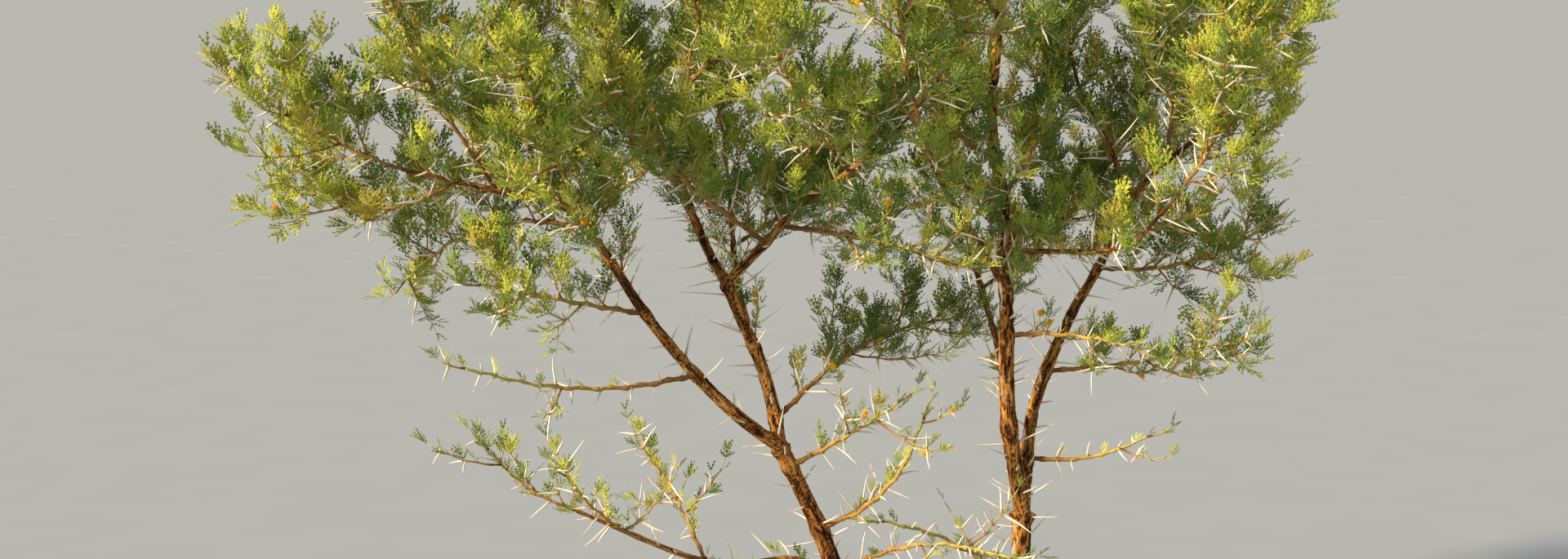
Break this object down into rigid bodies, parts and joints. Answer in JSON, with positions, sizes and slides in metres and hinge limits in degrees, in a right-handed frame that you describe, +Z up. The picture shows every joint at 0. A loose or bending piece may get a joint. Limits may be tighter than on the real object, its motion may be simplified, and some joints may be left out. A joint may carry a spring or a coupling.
{
  "type": "thorny acacia bush",
  "caption": "Young, open, wide acacia bush with several stems from one flat-cut foot, straight pale thorn pairs, fine leaf sprays and small round blossoms.",
  "frame": {"origin": "middle of the flat cut under the woody foot, at ground level", "axes": "+Z up, +X towards the right of the bush as the picture shows it, +Y towards its back"},
  "size_m": [2.0505, 1.2931, 2.1884],
  "materials": {
    "bark": "rough golden-brown bark with dark fissures, warm where the sun is on it and grey-brown in the shade",
    "twig": "smooth orange-brown young twigs that turn yellow-green at their tips",
    "thorn": "hard ivory-white thorns, slightly glossy, brown where they start",
    "leaf": "fine matte yellow-green leaflets, darker and bluer inside the crown",
    "blossom": "fuzzy golden-yellow blossom heads, a few of them old and orange-brown"
  },
  "bodies": {
    "root": {"foot": "bark", "left_stem": "bark", "right_trunk": "bark", "middle_stem": "bark", "right_stem": "bark", "left_bough": "bark", "centre_bough": "bark", "leader": "bark", "fork_bough": "bark", "upper_bough": "bark", "low_left_bough": "bark", "side_bough": "bark", "inner_bough": "bark", "back_left_bough": "bark", "back_right_bough": "bark", "front_bough": "bark", "leaves_far_left": "leaf", "leaves_left_end_low": "leaf", "leaves_left_end_top": "leaf", "leaves_left_back_top": "leaf", "leaves_left_front": "leaf", "leaves_left_under": "leaf", "leaves_left_shelf": "leaf", "leaves_left_thin": "leaf", "leaves_low_left_tip": "leaf", "leaves_low_left_front": "leaf", "leaves_low_left_back": "leaf", "leaves_leader_top": "leaf", "leaves_leader_left": "leaf", "leaves_leader_back": "leaf", "leaves_upper_tip": "leaf", "leaves_upper_front": "leaf", "leaves_fork_cross": "leaf", "leaves_fork_tip": "leaf", "leaves_fork_low": "leaf", "leaves_fork_front": "leaf", "leaves_cross_back": "leaf", "leaves_stem_right": "leaf", "leaves_stem_low_up": "leaf", "leaves_stem_low_right": "leaf", "leaves_trunk_left": "leaf", "leaves_middle_top": "leaf", "leaves_middle_left": "leaf", "leaves_middle_long": "leaf", "leaves_middle_back": "leaf", "leaves_middle_high": "leaf", "leaves_middle_low": "leaf", "leaves_right_tip": "leaf", "leaves_right_up": "leaf", "leaves_side_tip": "leaf", "leaves_inner_tip": "leaf", "leaves_inner_back": "leaf", "leaves_right_low": "leaf", "leaves_right_bare": "leaf", "leaves_right_shelf": "leaf", "leaves_back_left_tip": "leaf", "leaves_back_left_out": "leaf", "leaves_back_right_tip": "leaf", "leaves_back_right_out": "leaf", "leaves_front_tip": "leaf"}
  },
  "joints": []
}
